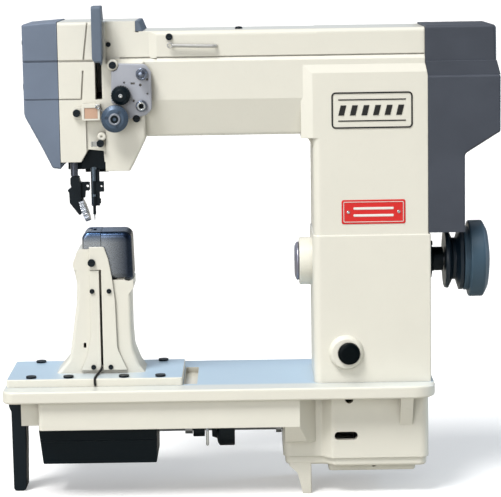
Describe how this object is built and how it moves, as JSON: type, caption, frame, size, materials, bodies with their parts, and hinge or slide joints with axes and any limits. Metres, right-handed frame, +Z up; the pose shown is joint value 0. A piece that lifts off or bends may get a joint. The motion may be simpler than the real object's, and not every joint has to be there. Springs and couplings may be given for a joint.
{
  "type": "leather sewing machine",
  "caption": "Post-bed sewing machine head for leather: C-shaped arm over a flat bed, upright hook post, leaning roller presser, needle bar, tension dials and a side handwheel.",
  "frame": {"origin": "on the bench, under the middle of the machine's outline", "axes": "+X along the bed towards the handwheel, +Y away from the operator, +Z up"},
  "size_m": [0.598, 0.178, 0.595],
  "materials": {
    "cream_paint": "satin stoved enamel on cast iron",
    "blue_grey_paint": "fine textured enamel",
    "slate_paint": "fine textured enamel",
    "plate_enamel": "silver-grey enamel",
    "black_plastic": "satin moulded",
    "black_oxide": "blackened and oiled",
    "dark_wheel_paint": "semi-gloss enamel",
    "dial_plastic": "satin moulded",
    "polished_steel": "dark polished",
    "chrome_plate": "bright plated",
    "ground_steel": "ground",
    "cast_steel": "as cast and machined",
    "bronze": "turned bronze",
    "belt_rubber": "moulded belt",
    "spring_steel": "oiled spring wire",
    "felt": "pressed felt",
    "bobbin_alloy": "turned alloy"
  },
  "bodies": {
    "frame": {"bed_casting": "cream_paint", "arm_casting": "cream_paint", "base_cover": "cream_paint", "support_leg": "black_oxide", "gear_cover": "black_plastic", "post_casting": "cream_paint", "post_cover_left": "cream_paint", "post_cover_right": "cream_paint", "throat_plate": "polished_steel", "face_cover": "blue_grey_paint", "rear_cover": "slate_paint", "take_up_guard": "blue_grey_paint", "tension_plate": "plate_enamel", "tension_studs": "chrome_plate", "thread_guide_frame": "cream_paint", "felt_pad": "felt", "thread_clip": "chrome_plate", "casting_screws": "black_oxide", "lower_shield": "black_plastic", "bearing_housing": "black_oxide", "bearing_cap": "cast_steel", "shaft_bearings": "ground_steel", "arm_bushes": "bronze", "shaft_block": "black_oxide", "timing_belts": "belt_rubber", "bobbin_case": "bobbin_alloy", "take_up_pin": "ground_steel", "tension_discs": "chrome_plate"},
    "main_rotor": {"main_shaft": "ground_steel", "handwheel": "dark_wheel_paint", "v_belt_pulley": "dark_wheel_paint", "main_pulley": "cast_steel"},
    "arm_rotor": {"arm_shaft": "ground_steel", "arm_pulley": "cast_steel", "needle_crank": "cast_steel"},
    "connecting_rod": {"needle_link": "cast_steel"},
    "lower_rotor": {"lower_shaft": "ground_steel", "lower_pulley": "cast_steel", "safety_clutch": "black_oxide", "set_collars": "ground_steel", "bevel_gear": "ground_steel"},
    "hook_rotor": {"hook_shaft": "ground_steel", "rotary_hook": "polished_steel"},
    "bobbin_body": {"bobbin": "bobbin_alloy"},
    "feed_rotor": {"feed_wheel": "ground_steel"},
    "rocking_frame": {"needle_frame": "cast_steel"},
    "needle_carrier": {"needle_bar": "chrome_plate", "needle_bar_clamps": "black_oxide", "needle": "ground_steel"},
    "take_up": {"take_up_lever": "chrome_plate"},
    "presser": {"presser_bar": "black_oxide", "roller_holder": "black_oxide", "presser_spring": "spring_steel"},
    "presser_wheel": {"presser_roller": "ground_steel"},
    "lifter": {"lift_lever": "chrome_plate"},
    "dial": {"tension_dial": "dial_plastic"},
    "knob": {"pretension_knob": "black_plastic"},
    "thread_spring": {"check_spring": "ground_steel"},
    "button": {"stitch_button": "black_plastic"},
    "hook_lid": {"hook_cover": "polished_steel"}
  },
  "joints": [
    {"name": "main_spin", "type": "hinge", "parent": "frame", "child": "main_rotor", "pos_m": [0.27, 0, 0.28], "axis": [1, 0, 0], "continuous": true},
    {"name": "arm_spin", "type": "hinge", "parent": "frame", "child": "arm_rotor", "pos_m": [0, 0, 0.52], "axis": [1, 0, 0], "continuous": true},
    {"name": "crank_pin_pivot", "type": "hinge", "parent": "arm_rotor", "child": "connecting_rod", "pos_m": [-0.165, 0.01613, 0.528], "axis": [1, 0, 0], "continuous": true},
    {"name": "lower_spin", "type": "hinge", "parent": "frame", "child": "lower_rotor", "pos_m": [0, 0, 0.077], "axis": [1, 0, 0], "continuous": true},
    {"name": "hook_spin", "type": "hinge", "parent": "frame", "child": "hook_rotor", "pos_m": [-0.1685, 0, 0.2], "axis": [0, 0, 1], "continuous": true},
    {"name": "bobbin_spin", "type": "hinge", "parent": "frame", "child": "bobbin_body", "pos_m": [-0.1685, 0, 0.306], "axis": [0, 0, 1], "continuous": true},
    {"name": "feed_spin", "type": "hinge", "parent": "frame", "child": "feed_rotor", "pos_m": [-0.195, 0, 0.3059], "axis": [1, 0, 0], "continuous": true},
    {"name": "needle_rock", "type": "hinge", "parent": "frame", "child": "rocking_frame", "pos_m": [-0.19, 0.01, 0.556], "axis": [1, 0, 0], "range_deg": [-1, 1]},
    {"name": "needle_bar_slide", "type": "slide", "parent": "rocking_frame", "child": "needle_carrier", "axis": [0, 0, 1], "range_m": [-0.026, 0.01]},
    {"name": "take_up_swing", "type": "hinge", "parent": "frame", "child": "take_up", "pos_m": [-0.175, 0.034, 0.524], "axis": [1, 0, 0], "range_deg": [-11.5, 29.2]},
    {"name": "presser_lift", "type": "slide", "parent": "frame", "child": "presser", "axis": [0, 0, 1], "range_m": [-0.007, 0], "deforming": ["presser_spring"]},
    {"name": "presser_roller_spin", "type": "hinge", "parent": "presser", "child": "presser_wheel", "pos_m": [-0.1998, 0, 0.3465], "axis": [0.9455, 0, 0.3256], "continuous": true},
    {"name": "lift_lever_swing", "type": "hinge", "parent": "frame", "child": "lifter", "pos_m": [-0.195, 0.06, 0.464], "axis": [0, 1, 0], "range_deg": [-60.2, 0]},
    {"name": "tension_dial_turn", "type": "hinge", "parent": "frame", "child": "dial", "pos_m": [-0.1555, -0.08, 0.4635], "axis": [0, 1, 0], "range_deg": [-170, 170]},
    {"name": "pretension_knob_turn", "type": "hinge", "parent": "frame", "child": "knob", "pos_m": [-0.148, -0.08, 0.4905], "axis": [0, 1, 0], "range_deg": [-170, 170]},
    {"name": "check_spring_swing", "type": "hinge", "parent": "frame", "child": "thread_spring", "pos_m": [-0.1555, -0.0712, 0.4635], "axis": [0, 1, 0], "range_deg": [-20, 30]},
    {"name": "stitch_button_press", "type": "slide", "parent": "frame", "child": "button", "axis": [0, 1, 0], "range_m": [0, 0.006]},
    {"name": "hook_cover_open", "type": "hinge", "parent": "frame", "child": "hook_lid", "pos_m": [-0.1475, 0, 0.2695], "axis": [0, 1, 0], "range_deg": [0, 75]}
  ],
  "couplings": [
    {"joint": "arm_spin", "follows": "main_spin", "ratio": 1},
    {"joint": "lower_spin", "follows": "main_spin", "ratio": 1},
    {"joint": "hook_spin", "follows": "main_spin", "ratio": -2},
    {"joint": "crank_pin_pivot", "follows": "main_spin", "ratio": -1},
    {"joint": "feed_spin", "follows": "main_spin", "ratio": -0.065534},
    {"joint": "take_up_swing", "follows": "needle_bar_slide", "rad_per_m": -19.392},
    {"joint": "lift_lever_swing", "follows": "presser_lift", "rad_per_m": 149.6}
  ]
}
